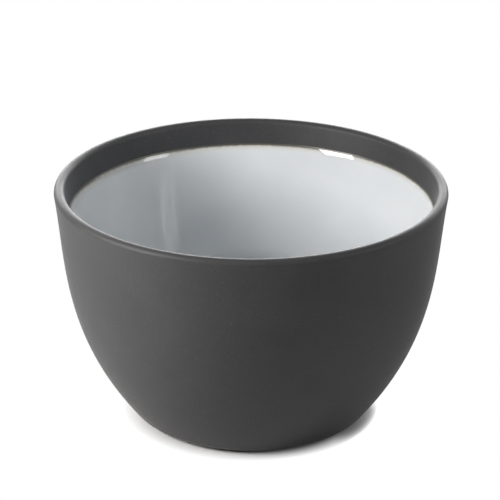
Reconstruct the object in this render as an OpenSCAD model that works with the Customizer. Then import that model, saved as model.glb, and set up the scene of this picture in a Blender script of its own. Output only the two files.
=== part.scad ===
// Latte bowl: a deep round bowl of dark porcelain, matt outside, with a white glossy glaze
// inside that stops short of the lip and a thin brown line where that glaze runs out.
// Millimetres, +Z up, with the origin on the table under the middle of the foot.

/* [Bowl] */
// Diameter across the lip
rim_d = 125; // [100:1:160]
// Height from the table to the top of the lip
bowl_h = 77; // [60:1:110]
// Lean of the wall away from upright just below the lip, in degrees
lip_lean = 9; // [4:1:16]

/* [Foot] */
// Outer diameter of the flat ring that the bowl stands on
foot_d = 65; // [50:1:80]
// Width of the flat ring
foot_w = 3.5; // [2:0.5:6]
// Radius of the round heel between the flat ring and the wall
heel_r = 8; // [4:0.5:12]
// Slope of the wall where it leaves the heel, in degrees above level
heel_rise = 51; // [40:1:65]
// Height of the hollow inside the flat ring
recess_h = 1.8; // [1.2:0.1:3]
// Radius of the ring's rounded inner edge
recess_edge_r = 0.6; // [0.3:0.1:1]

/* [Wall] */
// Thickness of the lip, which is half round on top
lip_t = 3.4; // [2:0.1:4.5]
// Thickness of the wall where its inside starts to round into the floor
wall_t = 5.1; // [2.5:0.1:7]
// Thickness of the floor in the middle
floor_t = 5.2; // [3:0.1:7]

/* [Glaze] */
// Depth of the glaze's edge below the top of the lip
glaze_drop = 8.2; // [5:0.1:20]
// Thickness of the glaze
glaze_t = 0.5; // [0.3:0.1:1]
// Height over which the glaze swells from its edge to its full thickness
bead_h = 2.4; // [0.8:0.1:4]
// Height of the brown line above the glaze's edge
edge_line_h = 0.5; // [0.3:0.1:1]
// Thickness of the brown line where it meets the glaze
edge_line_t = 0.12; // [0.08:0.01:0.2]

/* [Hidden] */
$fn = 120;

body_colour = "#3d3b3b";
glaze_colour = "#dfe3e6";
edge_line_colour = "#6b6150";

// Pull of the outer wall's curve at each end, as a share of the way between its ends
heel_pull_share = 0.47;
lip_pull_share = 0.28;
// Place along the outer wall, from heel to lip, where the inside starts to round into the floor
floor_join_share = 0.3;
// Pull of the floor's curve at the wall, as a share of its drop from there to the middle
join_pull_share = 0.94;
// Pull of the floor's curve at the middle, as a share of the radius of the pull at the wall
middle_pull_share = 0.72;
// Power by which the wall thins from there up to the lip
thinning_power = 1.5;
// Distance to the two places beside a point that give the inside's direction there
beside_share = 0.001;

// Straight steps that make up each curved stretch of the outlines
edge_steps = 6;
heel_steps = 10;
wall_steps = 24;
lip_steps = 7;
bare_steps = 4;
line_steps = 3;
bead_steps = 8;
floor_steps = 24;

function unit(v) = v / norm(v);
function turned_left(v) = [-v.y, v.x];
function between(from, to, share) = from + (to - from) * share;
function on_circle(centre, radius, angle) = centre + radius * [cos(angle), sin(angle)];

// Shares of a stretch that has so many steps, without the start, which the last stretch gave
function shares_after_start(steps) = [for (i = [1 : steps]) i / steps];
function reversed(points) = [for (i = [len(points) - 1 : -1 : 0]) points[i]];

// Arc without its first point
function arc(centre, radius, from, to, steps) =
    [for (share = shares_after_start(steps)) on_circle(centre, radius, between(from, to, share))];

// Point and direction on a cubic curve through its four control points
function curve_point(p, share) =
    let (rest = 1 - share)
    pow(rest, 3) * p[0] + 3 * pow(rest, 2) * share * p[1]
    + 3 * rest * pow(share, 2) * p[2] + pow(share, 3) * p[3];
function curve_way(p, share) =
    let (rest = 1 - share)
    unit(pow(rest, 2) * (p[1] - p[0]) + 2 * rest * share * (p[2] - p[1])
         + pow(share, 2) * (p[3] - p[2]));

// Foot: a flat ring with a round heel outside and a shallow hollow inside
foot_outer_r = foot_d / 2;
foot_inner_r = foot_outer_r - foot_w;
recess_r = foot_inner_r - recess_edge_r;
cove_r = recess_h - recess_edge_r;
cove_centre = [recess_r - cove_r, recess_edge_r];
heel_centre = [foot_outer_r, heel_r];

// Outer wall: one curve from the heel to the half-round lip, tangent to both
lip_r = lip_t / 2;
lip_centre = [rim_d / 2 - lip_r, bowl_h - lip_r];
heel_end = on_circle(heel_centre, heel_r, heel_rise - 90);
wall_end = on_circle(lip_centre, lip_r, -lip_lean);
wall_reach = norm(wall_end - heel_end);
outer_wall = [
    heel_end,
    heel_end + heel_pull_share * wall_reach * [cos(heel_rise), sin(heel_rise)],
    wall_end - lip_pull_share * wall_reach * [sin(lip_lean), cos(lip_lean)],
    wall_end
];

function wall_thickness(share) =
    let (rest_share = max(0, 1 - share) / (1 - floor_join_share))
    lip_t + (wall_t - lip_t) * pow(rest_share, thinning_power);
function inside_point(share) =
    curve_point(outer_wall, share)
    + wall_thickness(share) * turned_left(curve_way(outer_wall, share));
function inside_way(share) =
    unit(inside_point(share + beside_share) - inside_point(share - beside_share));

// A station is a point on the inside of the clay with the direction into the bowl there
function wall_station(share) = [inside_point(share), turned_left(inside_way(share))];
function wall_stations(from, to, steps) =
    [for (share = shares_after_start(steps)) wall_station(between(from, to, share))];

// Floor: one curve from the wall's inside to the middle, where it lies level
join_point = inside_point(floor_join_share);
join_way = inside_way(floor_join_share);
floor_middle = [0, recess_h + floor_t];
floor_drop = join_point.y - floor_middle.y;
corner_point = join_point - join_pull_share * floor_drop / join_way.y * join_way;
floor_curve = [
    join_point,
    corner_point,
    floor_middle + [middle_pull_share * corner_point.x, 0],
    floor_middle
];
function floor_station(share) =
    [curve_point(floor_curve, share), -turned_left(curve_way(floor_curve, share))];

// Place along the wall where its inside has a given height, found by halving
function share_at_height(z, low = floor_join_share, high = 1, halvings = 30) =
    let (middle = (low + high) / 2)
    halvings == 0 ? middle
    : inside_point(middle).y < z ? share_at_height(z, middle, high, halvings - 1)
    : share_at_height(z, low, middle, halvings - 1);

glaze_edge_z = bowl_h - glaze_drop;
line_top_share = share_at_height(glaze_edge_z + edge_line_h);
glaze_edge_share = share_at_height(glaze_edge_z);
bead_end_share = share_at_height(glaze_edge_z - bead_h);

// The inside in four runs: bare clay, under the brown line, under the bead, under the glaze
bare_stations = wall_stations(1, line_top_share, bare_steps);
line_stations = wall_stations(line_top_share, glaze_edge_share, line_steps);
bead_stations = wall_stations(glaze_edge_share, bead_end_share, bead_steps);
lower_stations = concat(
    wall_stations(bead_end_share, floor_join_share, wall_steps),
    [for (share = shares_after_start(floor_steps)) floor_station(share)]
);

function places(stations) = [for (station = stations) station[0]];
// Outline of a layer on the inside, with its thickness given for a height
function layer(stations, thickness) = concat(
    places(stations),
    reversed([for (station = stations) station[0] + thickness(station[0].y) * station[1]])
);
function last_of(list) = list[len(list) - 1];

glaze_thickness = function (z)
    let (thinning_share = max(0, 1 - (glaze_edge_z - z) / bead_h))
    glaze_t - (glaze_t - edge_line_t) * pow(thinning_share, 2);
line_thickness = function (z)
    let (height_share = (z - glaze_edge_z) / edge_line_h)
    edge_line_t * (1 - pow(height_share, 2));

foot_outline = concat(
    [[0, recess_h], on_circle(cove_centre, cove_r, 90)],
    arc(cove_centre, cove_r, 90, 0, edge_steps),
    arc([foot_inner_r, recess_edge_r], recess_edge_r, 180, 270, edge_steps),
    [[foot_outer_r, 0]],
    arc(heel_centre, heel_r, -90, heel_rise - 90, heel_steps)
);
// The lip's arcs meet at its widest and at its highest point
wall_outline = concat(
    [for (share = shares_after_start(wall_steps)) curve_point(outer_wall, share)],
    arc(lip_centre, lip_r, -lip_lean, 0, 1),
    arc(lip_centre, lip_r, 0, 90, lip_steps),
    arc(lip_centre, lip_r, 90, 180 - lip_lean, lip_steps)
);

// Dark porcelain shell with its lip, its floor and its foot
module bowl_body() {
    color(body_colour)
        rotate_extrude()
            polygon(concat(
                foot_outline,
                wall_outline,
                places(bare_stations),
                places(line_stations),
                places(bead_stations),
                places(lower_stations)
            ));
}

// White glaze that lines the inside, with a swelling bead along its edge
module inner_glaze() {
    color(glaze_colour)
        rotate_extrude()
            polygon(layer(
                concat([last_of(line_stations)], bead_stations, lower_stations),
                glaze_thickness
            ));
}

// Brown line where the glaze thins out over the dark clay
module glaze_edge_line() {
    color(edge_line_colour)
        rotate_extrude()
            polygon(layer(
                concat([last_of(bare_stations)], line_stations),
                line_thickness
            ));
}

bowl_body();
inner_glaze();
glaze_edge_line();
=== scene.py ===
# %% [markdown]
# # A latte bowl of matt dark porcelain, glazed white inside
#
# The bowl is one piece of dark clay with a thin layer of glass melted onto its inside. The
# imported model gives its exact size, so the lesson starts by loading that model as a frame.
# Every surface made below is worked out as a formula, fitted to the frame and then finished
# with its own procedural material.

# %% Load the frame
import math
import bpy
import numpy as np
from mathutils import Matrix, Vector


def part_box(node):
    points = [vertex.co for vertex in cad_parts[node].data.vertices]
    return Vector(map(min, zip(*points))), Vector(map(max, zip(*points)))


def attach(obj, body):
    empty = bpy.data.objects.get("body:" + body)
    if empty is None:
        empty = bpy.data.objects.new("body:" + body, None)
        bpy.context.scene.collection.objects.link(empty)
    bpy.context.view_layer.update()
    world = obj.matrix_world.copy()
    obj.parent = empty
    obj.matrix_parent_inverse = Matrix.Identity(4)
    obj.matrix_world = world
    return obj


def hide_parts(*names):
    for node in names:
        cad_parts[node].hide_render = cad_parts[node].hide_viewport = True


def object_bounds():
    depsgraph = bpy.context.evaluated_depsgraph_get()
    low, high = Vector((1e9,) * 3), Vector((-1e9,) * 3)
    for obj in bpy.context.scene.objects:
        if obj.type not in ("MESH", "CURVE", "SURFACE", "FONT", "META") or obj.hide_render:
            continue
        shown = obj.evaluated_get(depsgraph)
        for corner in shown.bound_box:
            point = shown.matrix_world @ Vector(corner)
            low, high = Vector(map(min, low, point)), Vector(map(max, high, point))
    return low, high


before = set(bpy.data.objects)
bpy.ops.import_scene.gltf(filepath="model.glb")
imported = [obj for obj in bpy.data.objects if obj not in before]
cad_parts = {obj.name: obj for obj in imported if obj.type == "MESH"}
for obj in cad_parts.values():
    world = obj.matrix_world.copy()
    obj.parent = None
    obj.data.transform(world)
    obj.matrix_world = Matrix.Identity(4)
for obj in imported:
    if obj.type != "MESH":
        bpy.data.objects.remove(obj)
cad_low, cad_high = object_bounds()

MM = 0.001
rim_r = (cad_high[0] - cad_low[0]) / 2
bowl_h = cad_high[2] - cad_low[2]
print(f"bowl {2 * rim_r / MM:.1f} mm across and {bowl_h / MM:.1f} mm high")

# %% [markdown]
# ## The camera
#
# The picture was taken with a long lens from a little above the rim, so that the mouth of the
# bowl is a flat ellipse. A camera could be placed by eye, but a small error in its height shows
# in that ellipse at once. So the outline, the lip and the edge of the glaze were compared with
# a computed bowl until a distance, a height and a lens agreed with all of them. The camera aims
# below the rim and a hair to the left of it, and it is turned a quarter of a degree about its
# own axis, as in the photograph.

# %% Camera
IMAGE_W_PX = 500
SENSOR_W_MM = 36
reach_in_rim_radii = 15.0
camera_elevation = math.radians(21.43)
aim_below_rim = math.radians(1.2685)
aim_left_of_rim = math.radians(0.018)
camera_roll = math.radians(0.235)
focal_px = 2957.0

camera_reach = reach_in_rim_radii * rim_r
rim_centre = Vector((0, 0, bowl_h))
back_to_camera = Vector((0, -math.cos(camera_elevation), math.sin(camera_elevation)))
pitch = camera_elevation + aim_below_rim
forward = Vector((-math.sin(aim_left_of_rim), math.cos(aim_left_of_rim) * math.cos(pitch),
                  -math.cos(aim_left_of_rim) * math.sin(pitch)))
level_right = Vector((math.cos(aim_left_of_rim), math.sin(aim_left_of_rim), 0))
level_up = level_right.cross(forward)
right = level_right * math.cos(camera_roll) + level_up * math.sin(camera_roll)
up = level_up * math.cos(camera_roll) - level_right * math.sin(camera_roll)

camera_data = bpy.data.cameras.new("photo_camera")
camera_data.sensor_width = SENSOR_W_MM
camera_data.lens = focal_px * camera_data.sensor_width / IMAGE_W_PX
camera = bpy.data.objects.new("photo_camera", camera_data)
axes = Matrix((right, up, -forward)).transposed()
camera.matrix_world = Matrix.LocRotScale(rim_centre + camera_reach * back_to_camera, axes, None)
bpy.context.scene.collection.objects.link(camera)
bpy.context.scene.camera = camera
print(f"camera {camera_reach:.2f} m from the rim, lens {camera_data.lens:.0f} mm")

# %% [markdown]
# ## Outlines
#
# A bowl is a body of revolution: one outline, carried once round the axis. The outside is a
# single cubic curve that leaves the round heel and runs into the half-round lip, tangent to
# both. The inside is the same curve moved inwards by the wall's thickness, which falls steadily
# from the floor up to the lip, as in a wall drawn up on the wheel. The points of the outline
# could be dragged into place by hand, but worked out from a few sizes they keep that thickness
# right everywhere.

# %% Sizes of the clay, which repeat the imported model's
foot_r = 32.5 * MM
foot_w = 3.5 * MM
heel_r = 8 * MM
heel_rise = math.radians(51)
lip_lean = math.radians(9)
lip_t = 3.4 * MM
wall_t = 5.1 * MM
floor_t = 5.2 * MM
recess_h = 1.8 * MM
recess_edge_r = 0.6 * MM
heel_pull_share = 0.47
lip_pull_share = 0.28
floor_join_share = 0.3
join_pull_share = 0.94
middle_pull_share = 0.72
thinning_power = 1.5
beside_share = 0.001
print(f"clay {lip_t / MM:.1f} mm thick at the lip, {floor_t / MM:.1f} mm in the middle")

# %% Helpers for outlines
half_pi = math.pi / 2


def unit(vectors):
    """Each vector divided by its own length."""
    return vectors / np.linalg.norm(vectors, axis=-1, keepdims=True)


def on_circle(centre, radius, angle):
    """Points at the centre plus the radius times the cosine and the sine of the angle."""
    angle = np.asarray(angle, float)
    return np.asarray(centre) + radius * np.stack([np.cos(angle), np.sin(angle)], axis=-1)


def curve_point(control, share):
    """Cubic curve: its four control points weighted by the terms of (rest + share) cubed."""
    share = np.asarray(share, float)[..., None]
    rest = 1 - share
    return (rest**3 * control[0] + 3 * rest**2 * share * control[1]
            + 3 * rest * share**2 * control[2] + share**3 * control[3])


def curve_way(control, share):
    """Direction of the cubic curve: the steps between its control points, weighted."""
    share = np.asarray(share, float)[..., None]
    rest = 1 - share
    return unit(rest**2 * (control[1] - control[0])
                + 2 * rest * share * (control[2] - control[1])
                + share**2 * (control[3] - control[2]))


def turned_left(way):
    """The direction turned a quarter turn anticlockwise."""
    return np.stack([-way[..., 1], way[..., 0]], axis=-1)


# %% Outer wall of the clay
lip_r = lip_t / 2
lip_centre = np.array([rim_r - lip_r, bowl_h - lip_r])
heel_centre = np.array([foot_r, heel_r])
heel_end = on_circle(heel_centre, heel_r, heel_rise - half_pi)
heel_way = np.array([math.cos(heel_rise), math.sin(heel_rise)])
wall_end = on_circle(lip_centre, lip_r, -lip_lean)
wall_end_way = np.array([math.sin(lip_lean), math.cos(lip_lean)])
wall_reach = np.linalg.norm(wall_end - heel_end)
outer_wall = np.array([
    heel_end,
    heel_end + heel_pull_share * wall_reach * heel_way,
    wall_end - lip_pull_share * wall_reach * wall_end_way,
    wall_end,
])
print(f"outer wall from {heel_end[0] / MM:.1f} mm to {wall_end[0] / MM:.1f} mm off the axis")

# %% Inside of the clay
def inside_wall(share):
    """The outer wall moved along its normal by a thickness that falls as a power of the rest."""
    rest_share = np.clip(1 - np.asarray(share, float), 0, None) / (1 - floor_join_share)
    thickness = lip_t + (wall_t - lip_t) * rest_share**thinning_power
    inward = turned_left(curve_way(outer_wall, share))
    return curve_point(outer_wall, share) + thickness[..., None] * inward


join_point = inside_wall(floor_join_share)
just_above = inside_wall(floor_join_share + beside_share)
just_below = inside_wall(floor_join_share - beside_share)
join_way = unit(just_above - just_below)
floor_middle = np.array([0, recess_h + floor_t])
floor_drop = join_point[1] - floor_middle[1]
corner_point = join_point - join_pull_share * floor_drop / join_way[1] * join_way
floor_curve = np.array([
    join_point,
    corner_point,
    floor_middle + np.array([middle_pull_share * corner_point[0], 0]),
    floor_middle,
])
print(f"wall joins the floor {join_point[1] / MM:.1f} mm above the table")

# %% The inside as one path from the lip to the middle of the floor
PATH_SAMPLES = 2000
wall_shares = np.linspace(1, floor_join_share, PATH_SAMPLES)
floor_shares = np.linspace(0, 1, PATH_SAMPLES)
inside_path = np.concatenate([
    inside_wall(wall_shares),
    curve_point(floor_curve, floor_shares)[1:],
])
path_steps = np.linalg.norm(np.diff(inside_path, axis=0), axis=1)
inside_length = np.concatenate([[0], np.cumsum(path_steps)])
inside_total = inside_length[-1]
inside_way = unit(np.gradient(inside_path, inside_length, axis=0))
inside_way[-1] = (-1, 0)


def inside_at(length):
    """Point on the inside and its normal into the bowl, at a length along it from the lip."""
    r = np.interp(length, inside_length, inside_path[:, 0])
    z = np.interp(length, inside_length, inside_path[:, 1])
    way_r = np.interp(length, inside_length, inside_way[:, 0])
    way_z = np.interp(length, inside_length, inside_way[:, 1])
    point = np.stack([r, z], axis=-1)
    inward = -turned_left(unit(np.stack([way_r, way_z], axis=-1)))
    return point, inward


print(f"inside {inside_total / MM:.1f} mm long from the lip to the middle of the floor")

# %% [markdown]
# ## From outlines to meshes
#
# A grid of points is the plainest way to a smooth surface: its rows run round the bowl, and its
# columns run along the outline. A Screw modifier would turn an outline too, but a grid can also
# hold an edge that isn't level and a thickness that changes on the way round. Where the outline
# meets the axis, a whole row is drawn together to one point, the pole, so that a fan of
# triangles leaves no hole there. The signed volume under the faces says whether they point
# outwards.

# %% Points of a grid and the faces between them
AROUND = 256
turn = np.linspace(0, 2 * math.pi, AROUND, endpoint=False)


def turned(outline):
    """Each outline point carried round the axis: radius times cosine and sine, height kept."""
    r = outline[..., 0]
    z = outline[..., 1]
    if outline.ndim == 2:
        r = np.repeat(r[:, None], AROUND, axis=1)
        z = np.repeat(z[:, None], AROUND, axis=1)
    return np.stack([r * np.cos(turn), r * np.sin(turn), z], axis=-1)


def grid_faces(rows, closed_rows):
    """Four corners of each grid cell; the columns always close, the rows only if asked."""
    row = np.arange(rows if closed_rows else rows - 1)[:, None]
    column = np.arange(AROUND)[None, :]
    next_row = (row + 1) % rows
    next_column = (column + 1) % AROUND
    corners = [row * AROUND + column, row * AROUND + next_column,
               next_row * AROUND + next_column, next_row * AROUND + column]
    return np.stack(corners, axis=-1).reshape(-1, 4)


# %% Poles and the side that faces point to
def drawn_to_poles(quads, rows):
    """Corners in the first row become that row's first point, and in the last row likewise."""
    last_row = (rows - 1) * AROUND
    quads = np.where(quads < AROUND, 0, quads)
    return np.where(quads >= last_row, last_row, quads)


def corner_lists(quads):
    """Three corners for a face that has one of them twice in a row, and four for any other."""
    repeated = quads == np.roll(quads, 1, axis=1)
    in_fan = repeated.any(axis=1)
    triangles = quads[in_fan][~repeated[in_fan]].reshape(-1, 3)
    return triangles.tolist() + quads[~in_fan].tolist()


def signed_volume(points, quads):
    """Sum over both triangles of each face of a sixth of the box product of their corners."""
    triangles = np.concatenate([quads[:, [0, 1, 2]], quads[:, [0, 2, 3]]])
    a, b, c = (points[triangles[:, k]] for k in range(3))
    return np.einsum("ij,ij->i", a, np.cross(b, c)).sum() / 6


# %% From a grid to a piece
SHARP_FROM = math.radians(40)


def lathe_piece(name, grid, values, poles):
    """A closed mesh from a grid of rows; with poles its first and last rows are one point each.

    values holds named numbers for each grid point, which become attributes for the material.
    """
    points = grid.reshape(-1, 3)
    quads = grid_faces(len(grid), closed_rows=not poles)
    if poles:
        quads = drawn_to_poles(quads, len(grid))
    volume = signed_volume(points, quads)
    if volume < 0:
        quads = quads[:, ::-1]
    used, index = np.unique(quads, return_inverse=True)
    faces = corner_lists(index.reshape(-1, 4))
    mesh = bpy.data.meshes.new(name)
    mesh.from_pydata(points[used].tolist(), [], faces)
    mesh.polygons.foreach_set("use_smooth", np.ones(len(faces), bool))
    mesh.set_sharp_from_angle(angle=SHARP_FROM)
    for key, value in values.items():
        attribute = mesh.attributes.new(key, "FLOAT", "POINT")
        attribute.data.foreach_set("value", value.reshape(-1)[used].astype(np.float32))
    mesh.update()
    piece = bpy.data.objects.new(name, mesh)
    bpy.context.scene.collection.objects.link(piece)
    volume_cm3 = abs(volume) / (10 * MM) ** 3
    print(f"{name}: {len(used)} points, {len(faces)} faces, {volume_cm3:.2f} cm3")
    return piece


# %% [markdown]
# ## The clay shell
#
# The real shell is cast or pressed, then the flat ring of its foot is ground level, so that it
# stands without rocking. An outside and an inside could be made one by one and joined, but one
# outline from the axis back to the axis gives the shell all at once, with no seam to hide:
# hollow foot, ground ring, round heel, wall, half-round lip and inside. More points go where
# the outline bends tightly.

# %% Clay shell
ROOF_STEPS = 24
EDGE_STEPS = 8
RING_STEPS = 6
HEEL_STEPS = 20
WALL_STEPS = 110
LIP_STEPS = 36
INSIDE_STEPS = 90


def steps(start, end, count):
    """Evenly spaced values from start to end, without the start."""
    return np.linspace(start, end, count + 1)[1:]


ring_inner_r = foot_r - foot_w
ring_edge_centre = (ring_inner_r, recess_edge_r)
cove_r = recess_h - recess_edge_r
cove_centre = (ring_inner_r - recess_edge_r - cove_r, recess_edge_r)
roof_r = np.linspace(0, cove_centre[0], ROOF_STEPS + 1)
ring_r = steps(ring_inner_r, foot_r, RING_STEPS)
clay_outline = np.concatenate([
    np.stack([roof_r, np.full_like(roof_r, recess_h)], axis=-1),
    on_circle(cove_centre, cove_r, steps(half_pi, 0, EDGE_STEPS)),
    on_circle(ring_edge_centre, recess_edge_r, steps(math.pi, 3 * half_pi, EDGE_STEPS)),
    np.stack([ring_r, np.zeros_like(ring_r)], axis=-1),
    on_circle(heel_centre, heel_r, steps(-half_pi, heel_rise - half_pi, HEEL_STEPS)),
    curve_point(outer_wall, steps(0, 1, WALL_STEPS)),
    on_circle(lip_centre, lip_r, steps(-lip_lean, math.pi - lip_lean, LIP_STEPS)),
    inside_at(steps(0, inside_total, INSIDE_STEPS))[0],
])
bowl_shell = lathe_piece("bowl_shell", turned(clay_outline), {}, poles=True)
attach(bowl_shell, "root")
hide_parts("bowl_body")

# %% [markdown]
# ## The glaze lining
#
# The white glaze is poured in and out again, then fired until it melts. Melted glass pulls
# itself into a rounded bead along its edge, and that edge is never quite level. Here it hangs a
# millimetre lower at the left than at the right, and wanders by a tenth to either side. A
# Solidify modifier would give the layer one thickness everywhere. Worked out point by point, it
# grows from the edge as a rounded hump, then swells and thins again by a fraction of a
# millimetre, which is enough to move what the lower wall mirrors. The distance from the edge is
# kept on every point, because the colour of the glaze depends on it. It grows more slowly at
# the left, where the photograph shows a softer edge.

# %% Edge of the glaze
EDGE_SEED = 3
EDGE_WAVES = (2, 3, 5, 8, 13, 21, 34)
edge_drop = 0.35 * MM
edge_tilt = 0.5 * MM
edge_wander = 0.05 * MM
lowest_side = math.radians(190)
glaze_edge_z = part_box("inner_glaze")[1][2]
nominal_edge = np.interp(-glaze_edge_z, -inside_path[:, 1], inside_length)


def waves(seed, orders):
    """Sum of cosines of whole orders round the bowl, with seeded phases and falling heights."""
    phases = np.random.default_rng(seed).uniform(0, 2 * math.pi, len(orders))[:, None]
    orders = np.asarray(orders)[:, None]
    return (1 / np.sqrt(orders) * np.cos(orders * turn + phases)).sum(axis=0)


tilted_edge = edge_drop + edge_tilt * np.cos(turn - lowest_side)
edge_length = nominal_edge + tilted_edge + edge_wander * waves(EDGE_SEED, EDGE_WAVES)
print(f"glaze edge {(bowl_h - glaze_edge_z) / MM:.1f} mm below the lip,"
      f" {np.ptp(edge_length) / MM:.2f} mm between its highest and its lowest place")

# %% Thickness of the glaze
glaze_t = 0.5 * MM
edge_t = 0.12 * MM
bead_h = 2.4 * MM
swell_rise = 0.17 * MM
swell_fall = 0.34 * MM
swell_half = 22 * MM


def half_wave(share):
    """Half a wave of a cosine, which rises from 0 to 1 as the share does."""
    return (1 - np.cos(np.pi * np.clip(share, 0, 1))) / 2


def glaze_thickness(depth):
    """Edge thickness plus a hump that is full at the bead's height, and a low swell below it.

    The hump is one minus a square. The swell rises and falls as half waves of a cosine.
    """
    thinning = np.clip(1 - depth / bead_h, 0, 1)
    hump = glaze_t - (glaze_t - edge_t) * thinning**2
    swell_share = depth / swell_half
    return hump + swell_rise * half_wave(swell_share) - swell_fall * half_wave(swell_share - 1)


print(f"glaze {glaze_thickness(bead_h) / MM:.2f} mm thick below its bead,"
      f" {glaze_thickness(2 * swell_half) / MM:.2f} mm below its swell")

# %% Glaze lining
FRONT_ROWS = 190
BACK_ROWS = 60
crowding_power = 2.2
left_softness = 0.8
front_share = np.linspace(0, 1, FRONT_ROWS)[:, None] ** crowding_power
back_share = np.linspace(1, 0, BACK_ROWS)[:, None]
front_length = edge_length + (inside_total - edge_length) * front_share
back_length = edge_length + (inside_total - edge_length) * back_share
front_point, front_inward = inside_at(front_length)
front_depth = front_length - edge_length
front = front_point + glaze_thickness(front_depth)[..., None] * front_inward
back = inside_at(back_length)[0]
lining_grid = np.concatenate([turned(back), turned(front)])
softness = 1 + left_softness * np.clip(-np.cos(turn), 0, None) ** 2
edge_depth = np.concatenate([back_length - edge_length, front_depth]) / softness
glaze_lining = lathe_piece("glaze_lining", lining_grid, {"edge_depth": edge_depth}, poles=True)
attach(glaze_lining, "root")
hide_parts("inner_glaze")

# %% [markdown]
# ## The brown line
#
# Above its white edge the glaze runs out to almost nothing over the dark clay, which shows
# through and turns that last film brown. It could be painted onto the lining as a band of
# colour. As a thin ring of its own it stays a piece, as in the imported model, and it can vary in
# width on its way round. Its lower side meets the edge of the lining, and its upper side thins
# away to nothing.

# %% Brown line
LINE_ROWS = 8
LINE_SEED = 11
LINE_WAVES = (3, 7, 12, 19, 31)
line_w = 0.55 * MM
width_variation = 0.09
line_width = line_w * (1 + width_variation * waves(LINE_SEED, LINE_WAVES))
line_share = np.linspace(0, 1, LINE_ROWS)[:, None]
line_length = edge_length - line_width * (1 - line_share)
line_point, line_inward = inside_at(line_length)
line_t = edge_t * (1 - (1 - line_share) ** 2)
line_front = line_point + line_t[..., None] * line_inward
line_grid = np.concatenate([turned(line_point), turned(line_front)[::-1][:-1]])
row_shares = np.concatenate([line_share, line_share[::-1][:-1]])
share_values = {"line_share": np.repeat(row_shares, AROUND, axis=1)}
brown_line = lathe_piece("brown_line", line_grid, share_values, poles=False)
print(f"brown line {line_width.min() / MM:.2f} to {line_width.max() / MM:.2f} mm wide")
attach(brown_line, "root")
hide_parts("glaze_edge_line")

# %% [markdown]
# ## Materials
#
# No fired surface is one flat colour. The clay shows a fine grain and a soft cloudiness, and
# the glaze varies a little in tone and lies in very faint waves. A flat picture of each could
# be wrapped round the bowl, but it would stretch towards the foot and show a seam. Noise that
# is read at the object's own coordinates, in metres, does neither. One node group makes the two
# kinds of noise, and each material places it with sizes of its own.

# %% Helpers for nodes
# A Mix node has sockets for values, vectors and colours; these are the places of the colours
MIX_FIRST = 6
MIX_SECOND = 7
MIX_RESULT = 2


def node(tree, kind, **settings):
    """A new node with its settings made and its inputs filled by name."""
    made = tree.nodes.new(kind)
    for key, value in settings.items():
        if key in made.inputs.keys():
            made.inputs[key].default_value = value
        else:
            setattr(made, key, value)
    return made


def ramp(tree, value, source, target, smooth=True):
    """The value mapped from a source range to a target range and kept inside it."""
    made = node(tree, "ShaderNodeMapRange", clamp=True)
    made.interpolation_type = "SMOOTHSTEP" if smooth else "LINEAR"
    keys = ("From Min", "From Max", "To Min", "To Max")
    for key, number in zip(keys, (*source, *target)):
        made.inputs[key].default_value = number
    tree.links.new(value, made.inputs["Value"])
    return made.outputs["Result"]


def mixed(tree, factor, first, second):
    """Two colours mixed by a factor; each is a socket or a fixed colour."""
    made = node(tree, "ShaderNodeMix", data_type="RGBA")
    tree.links.new(factor, made.inputs["Factor"])
    for colour, place in ((first, MIX_FIRST), (second, MIX_SECOND)):
        if isinstance(colour, tuple):
            made.inputs[place].default_value = (*colour, 1)
        else:
            tree.links.new(colour, made.inputs[place])
    return made.outputs[MIX_RESULT]


def arithmetic(tree, operation, first, second):
    """Two values joined by an operation; each is a socket or a fixed number."""
    made = node(tree, "ShaderNodeMath", operation=operation)
    for value, socket in zip((first, second), made.inputs):
        if isinstance(value, (int, float)):
            socket.default_value = value
        else:
            tree.links.new(value, socket)
    return made.outputs["Value"]


def object_place(tree):
    """The place of each point of the surface in the object's own coordinates, in metres."""
    return tree.nodes.new("ShaderNodeTexCoord").outputs["Object"]


def attribute_value(tree, name):
    """A number that every point of the mesh carries."""
    return node(tree, "ShaderNodeAttribute", attribute_name=name).outputs["Fac"]


# %% Helpers for materials
def new_material(name):
    """A material with an empty Principled shader; gives the material, its tree and the shader."""
    material = bpy.data.materials.new(name)
    material.use_nodes = True
    tree = material.node_tree
    shader = tree.nodes["Principled BSDF"]
    return material, tree, shader


def add_bump(tree, shader, height, strength, distance):
    """Dents in the shader's normal, from a height between 0 and 1 and a distance in metres."""
    bump = node(tree, "ShaderNodeBump", Strength=strength, Distance=distance)
    tree.links.new(height, bump.inputs["Height"])
    tree.links.new(bump.outputs["Normal"], shader.inputs["Normal"])


def dress(piece, material):
    """Puts the material on the piece and says how many nodes it has."""
    piece.data.materials.append(material)
    print(f"{piece.name}: {material.name}, {len(material.node_tree.nodes)} nodes")


# %% Node group with the clouds and the grain of a fired surface
CLOUD_DETAIL = 3
GRAIN_DETAIL = 2
NOISE_ROUGHNESS = 0.55
fired_noise = bpy.data.node_groups.new("fired_noise", "ShaderNodeTree")
for socket_name, kind in (("Vector", "NodeSocketVector"), ("Cloud Scale", "NodeSocketFloat"),
                          ("Grain Scale", "NodeSocketFloat")):
    fired_noise.interface.new_socket(socket_name, in_out="INPUT", socket_type=kind)
for socket_name in ("Clouds", "Grain"):
    fired_noise.interface.new_socket(socket_name, in_out="OUTPUT", socket_type="NodeSocketFloat")
group_in = fired_noise.nodes.new("NodeGroupInput")
group_out = fired_noise.nodes.new("NodeGroupOutput")
for scale_name, output_name, detail in (("Cloud Scale", "Clouds", CLOUD_DETAIL),
                                        ("Grain Scale", "Grain", GRAIN_DETAIL)):
    texture = node(fired_noise, "ShaderNodeTexNoise", Detail=detail, Roughness=NOISE_ROUGHNESS)
    fired_noise.links.new(group_in.outputs["Vector"], texture.inputs["Vector"])
    fired_noise.links.new(group_in.outputs[scale_name], texture.inputs["Scale"])
    fired_noise.links.new(texture.outputs["Fac"], group_out.inputs[output_name])
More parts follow.
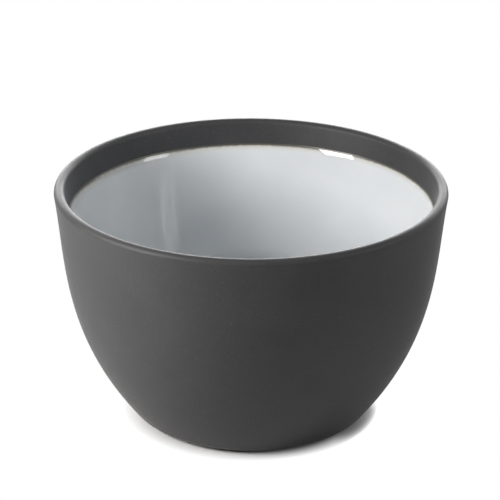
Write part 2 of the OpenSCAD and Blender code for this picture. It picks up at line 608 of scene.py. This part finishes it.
print(f"{fired_noise.name}: {len(fired_noise.nodes)} nodes")

# %% Placing the noise
# Noise crowds round a half, so its ranges are narrower than from 0 to 1
middle_of_noise = (0.35, 0.65)
most_of_noise = (0.3, 0.7)
top_of_noise = (0.58, 0.76)


def place_noise(tree, cloud_size, grain_size):
    """The clouds and the grain in a material, with their sizes in metres."""
    group = tree.nodes.new("ShaderNodeGroup")
    group.node_tree = fired_noise
    group.inputs["Cloud Scale"].default_value = 1 / cloud_size
    group.inputs["Grain Scale"].default_value = 1 / grain_size
    tree.links.new(object_place(tree), group.inputs["Vector"])
    return group.outputs["Clouds"], group.outputs["Grain"]


# %% [markdown]
# ### Matt dark porcelain
#
# The clay is coloured all through and left bare, so its surface is a very fine, even grain that
# scatters light widely. One dark colour with a high roughness would look like plastic. Here
# paler grains lie on two cloudy tones, a bump raises them, and a little sheen brightens the
# clay where it turns away from the eye, as along the lip. The ground ring of the foot is
# rougher and a little paler, because the grinding has opened it up.

# %% Matt porcelain
clay_dark = (0.0398, 0.0402, 0.0427)
clay_light = (0.0469, 0.0473, 0.0503)
clay_grain = (0.095, 0.095, 0.098)
clay_grain_share = 0.42
clay_roughness = (0.50, 0.56)
ground_dark = (0.070, 0.066, 0.064)
ground_light = (0.102, 0.096, 0.092)
ground_roughness = 0.85
ground_height = (0.02 * MM, 0.12 * MM)

clay, tree, shader = new_material("matt_dark_porcelain")
clouds, grain = place_noise(tree, cloud_size=22 * MM, grain_size=0.62 * MM)
height = tree.nodes.new("ShaderNodeSeparateXYZ")
tree.links.new(object_place(tree), height.inputs["Vector"])
ground = ramp(tree, height.outputs["Z"], ground_height, (1, 0))
clay_tone = mixed(tree, ramp(tree, clouds, middle_of_noise, (0, 1)), clay_dark, clay_light)
pale_grains = ramp(tree, grain, top_of_noise, (0, clay_grain_share))
clay_tone = mixed(tree, pale_grains, clay_tone, clay_grain)
ground_tone = mixed(tree, ramp(tree, grain, middle_of_noise, (0, 1)), ground_dark, ground_light)
tree.links.new(mixed(tree, ground, clay_tone, ground_tone), shader.inputs["Base Color"])
roughness = arithmetic(tree, "MAXIMUM", ramp(tree, clouds, most_of_noise, clay_roughness),
                       arithmetic(tree, "MULTIPLY", ground, ground_roughness))
tree.links.new(roughness, shader.inputs["Roughness"])
add_bump(tree, shader, grain, strength=0.75, distance=0.08 * MM)
shader.inputs["IOR"].default_value = 1.37
shader.inputs["Sheen Weight"].default_value = 0.12
shader.inputs["Sheen Roughness"].default_value = 0.18
dress(bowl_shell, clay)

# %% [markdown]
# ### White glaze
#
# A glaze is glass over a white ground: a pale, slightly cool colour under a sharp reflection.
# Towards its edge it thins, and the colour goes from white to cream and, in the last few tenths
# of a millimetre, to brown. The height above the table could drive that if the edge were level.
# It isn't, so the distance from the edge that each point carries does it.

# %% White glaze
glaze_dark = (0.728, 0.762, 0.792)
glaze_light = (0.752, 0.782, 0.808)
glaze_cream = (0.650, 0.648, 0.622)
glaze_brown = (0.088, 0.079, 0.056)
glaze_roughness = (0.008, 0.022)
cream_reach = (0.3 * MM, 2.0 * MM)
brown_reach = (-0.4 * MM, 0.7 * MM)
edge_jitter = (-0.08 * MM, 0.08 * MM)

glaze, tree, shader = new_material("white_inner_glaze")
clouds, grain = place_noise(tree, cloud_size=14 * MM, grain_size=1.3 * MM)
edge_distance = arithmetic(tree, "ADD", attribute_value(tree, "edge_depth"),
                           ramp(tree, grain, most_of_noise, edge_jitter))
glaze_tone = mixed(tree, ramp(tree, clouds, most_of_noise, (0, 1)), glaze_dark, glaze_light)
past_cream = ramp(tree, edge_distance, cream_reach, (0, 1))
glaze_tone = mixed(tree, past_cream, glaze_cream, glaze_tone)
past_brown = ramp(tree, edge_distance, brown_reach, (0, 1))
glaze_tone = mixed(tree, past_brown, glaze_brown, glaze_tone)
tree.links.new(glaze_tone, shader.inputs["Base Color"])
tree.links.new(ramp(tree, clouds, most_of_noise, glaze_roughness), shader.inputs["Roughness"])
add_bump(tree, shader, clouds, strength=0.06, distance=0.02 * MM)
shader.inputs["IOR"].default_value = 1.58
dress(glaze_lining, glaze)

# %% [markdown]
# ### Brown glaze edge
#
# The last film of glaze is stained by the clay. It is darkest where it is thinnest, at its
# upper side, and too thin to be as glossy as the rest. One brown would draw it like a pen line,
# so the share of its width that each point carries drives the tone, and grain breaks it up.

# %% Brown glaze edge
film_dark = (0.045, 0.042, 0.032)
film_light = (0.090, 0.082, 0.058)
film_roughness = (0.30, 0.40)
film_fade = (0.1, 1)
film_jitter = (-0.15, 0.15)

film_glaze, tree, shader = new_material("brown_glaze_film")
clouds, grain = place_noise(tree, cloud_size=5 * MM, grain_size=0.6 * MM)
film = arithmetic(tree, "ADD", attribute_value(tree, "line_share"),
                  ramp(tree, grain, most_of_noise, film_jitter))
film_tone = mixed(tree, ramp(tree, film, film_fade, (0, 1)), film_dark, film_light)
tree.links.new(film_tone, shader.inputs["Base Color"])
tree.links.new(ramp(tree, clouds, most_of_noise, film_roughness), shader.inputs["Roughness"])
shader.inputs["IOR"].default_value = 1.55
dress(brown_line, film_glaze)

# %% [markdown]
# ## Table and light
#
# The photograph was taken on a white table, with a bright softbox close by at the front left
# and a weaker one further off at the front right. Their shapes show in the bead of the glaze,
# and the first one's a second time in the wall below it. A dim panel at the right and a wide
# softbox behind the bowl draw its other edges. Under the bowl the table is a lit surface that
# keeps the shadow. More light would turn the rest of it white, but it would wash out the dark
# clay too. So the table fades into plain white within a few millimetres, by a steeper power at
# the front right, where the photograph's shadow is deepest. It does so only for rays that come
# from the camera, so that this white puts no extra light on the bowl.

# %% Table top
TABLE_HALF = 4.0
table_mesh = bpy.data.meshes.new("table_top")
corners = np.array([[-1, -1, 0], [1, -1, 0], [1, 1, 0], [-1, 1, 0]]) * TABLE_HALF
table_mesh.from_pydata(corners.tolist(), [], [[0, 1, 2, 3]])
table_top = bpy.data.objects.new("table_top", table_mesh)
bpy.context.scene.collection.objects.link(table_top)
print(f"table {2 * TABLE_HALF:.0f} m square")

# %% Finish of the table
table_tone = (0.75, 0.75, 0.75)
white = (1.0, 1.0, 1.0)
black = (0.0, 0.0, 0.0)
fade_reach = (35 * MM, 41.3 * MM)
fade_power = 1.4
extra_power_right = 3.6
right_side_x = (26 * MM, 37 * MM)
front_side_y = (-6 * MM, 2 * MM)


def ray_kinds(tree):
    """Two values, each 1 or 0: the ray is the camera's, and gloss or glass has sent it on."""
    path = tree.nodes.new("ShaderNodeLightPath")
    sent_on = arithmetic(tree, "MAXIMUM", path.outputs["Is Glossy Ray"],
                         path.outputs["Is Transmission Ray"])
    return path.outputs["Is Camera Ray"], sent_on


table_white, tree, shader = new_material("table_white")
from_camera, sent_on = ray_kinds(tree)
place = object_place(tree)
sides = tree.nodes.new("ShaderNodeSeparateXYZ")
tree.links.new(place, sides.inputs["Vector"])
from_axis = node(tree, "ShaderNodeVectorMath", operation="LENGTH")
tree.links.new(place, from_axis.inputs[0])
to_right = ramp(tree, sides.outputs["X"], right_side_x, (0, extra_power_right))
in_front = ramp(tree, sides.outputs["Y"], front_side_y, (1, 0))
power = arithmetic(tree, "ADD", arithmetic(tree, "MULTIPLY", to_right, in_front), fade_power)
away = ramp(tree, from_axis.outputs["Value"], fade_reach, (0, 1), smooth=False)
glow = arithmetic(tree, "MULTIPLY", arithmetic(tree, "POWER", away, power), from_camera)
lit_tone = mixed(tree, sent_on, table_tone, white)
tree.links.new(mixed(tree, glow, lit_tone, black), shader.inputs["Base Color"])
tree.links.new(glow, shader.inputs["Emission Strength"])
shader.inputs["Emission Color"].default_value = (*white, 1)
shader.inputs["Roughness"].default_value = 0.9
shader.inputs["Specular IOR Level"].default_value = 0.0
dress(table_top, table_white)

# %% Lamps
def softbox(name, azimuth, elevation, reach, width, height, radiance, colour=white):
    """A rectangular lamp aimed at the bowl from a direction and a distance.

    The power of such a lamp is its radiance times its area times pi.
    """
    azimuth = math.radians(azimuth)
    elevation = math.radians(elevation)
    way = Vector((math.cos(azimuth) * math.cos(elevation),
                  math.sin(azimuth) * math.cos(elevation), math.sin(elevation)))
    bowl_middle = Vector((0, 0, bowl_h / 2))
    data = bpy.data.lights.new(name, "AREA")
    data.shape = "RECTANGLE"
    data.size = width
    data.size_y = height
    data.energy = radiance * width * height * math.pi
    data.color = colour
    lamp = bpy.data.objects.new(name, data)
    lamp.location = bowl_middle + way * reach
    lamp.rotation_euler = (-way).to_track_quat("-Z", "Y").to_euler()
    bpy.context.scene.collection.objects.link(lamp)
    print(f"{name}: radiance {radiance:.1f}, {data.energy:.1f} W")


warm_white = (1, 0.971, 0.937)
softbox("key_softbox", azimuth=-153.2, elevation=25.5, reach=0.3443, width=0.13, height=0.12,
        radiance=27.2, colour=warm_white)
softbox("fill_softbox", azimuth=-25.5, elevation=17, reach=1.5, width=0.44, height=0.42,
        radiance=4.8)
softbox("side_panel", azimuth=8, elevation=22, reach=1.8, width=2.4, height=1.6, radiance=0.38)
softbox("back_softbox", azimuth=88, elevation=14, reach=3.6, width=4.0, height=1.4, radiance=9.4)

# %% Room
room_light = 0.094
backdrop_light = 1.0
world = bpy.data.worlds.new("studio")
bpy.context.scene.world = world
world.use_nodes = True
tree = world.node_tree
backdrop = tree.nodes["Background"]
backdrop.inputs["Color"].default_value = (*white, 1)
from_camera, sent_on = ray_kinds(tree)
backdrop_shown = arithmetic(tree, "MAXIMUM", from_camera, sent_on)
strength = ramp(tree, backdrop_shown, (0, 1), (room_light, backdrop_light), smooth=False)
tree.links.new(strength, backdrop.inputs["Strength"])
bpy.context.scene.view_settings.view_transform = "Standard"
print(f"room light {room_light}, backdrop {backdrop_light}")
